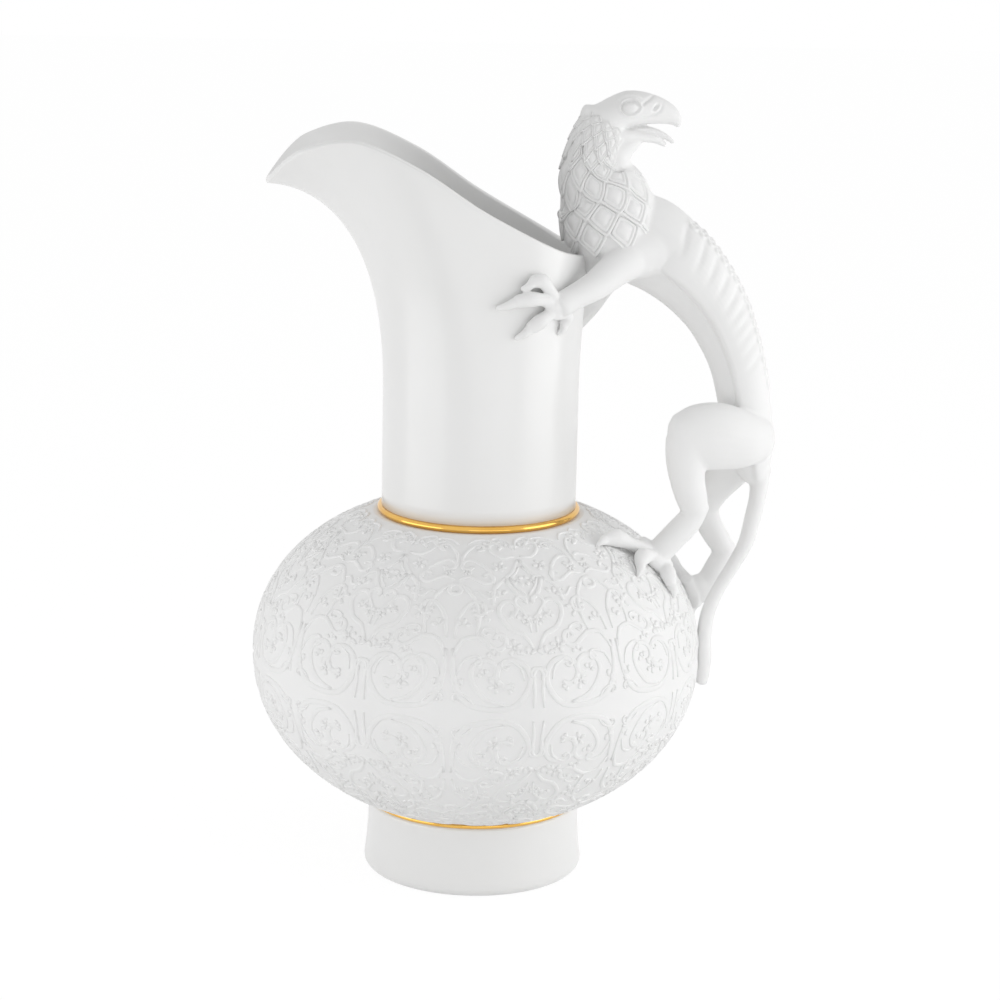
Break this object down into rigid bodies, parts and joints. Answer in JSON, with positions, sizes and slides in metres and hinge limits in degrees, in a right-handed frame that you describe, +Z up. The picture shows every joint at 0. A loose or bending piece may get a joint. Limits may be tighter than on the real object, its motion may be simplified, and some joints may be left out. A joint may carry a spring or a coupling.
{
  "type": "porcelain jug",
  "caption": "Tall porcelain jug with a round relief bulb on a short foot, a straight neck with a wide pouring lip, gilded bands and a climbing griffin as its handle.",
  "frame": {"origin": "middle of the flat ground base, on the axis of the foot, bulb and neck", "axes": "+Z up along the axis of the vessel, +X from the axis towards the griffin handle, the spout points to -X, -Y faces the camera of the picture"},
  "size_m": [0.2058, 0.1786, 0.3124],
  "materials": {
    "glazed_porcelain": "clear gloss glaze over white porcelain",
    "biscuit_porcelain": "unglazed matte white biscuit porcelain",
    "gilding": "burnished gilding"
  },
  "bodies": {
    "root": {"foot": "glazed_porcelain", "foot_gold_band": "gilding", "bulb": "biscuit_porcelain", "neck_gold_band": "gilding", "neck": "glazed_porcelain", "griffin_torso": "biscuit_porcelain", "griffin_feathered_neck": "biscuit_porcelain", "griffin_head": "biscuit_porcelain", "griffin_lower_beak": "biscuit_porcelain", "griffin_tongue": "biscuit_porcelain", "griffin_left_foreleg": "biscuit_porcelain", "griffin_right_foreleg": "biscuit_porcelain", "griffin_left_talon": "biscuit_porcelain", "griffin_right_talon": "biscuit_porcelain", "griffin_left_hind_leg": "biscuit_porcelain", "griffin_right_hind_leg": "biscuit_porcelain", "griffin_left_hind_paw": "biscuit_porcelain", "griffin_right_hind_paw": "biscuit_porcelain", "griffin_tail": "biscuit_porcelain"}
  },
  "joints": []
}
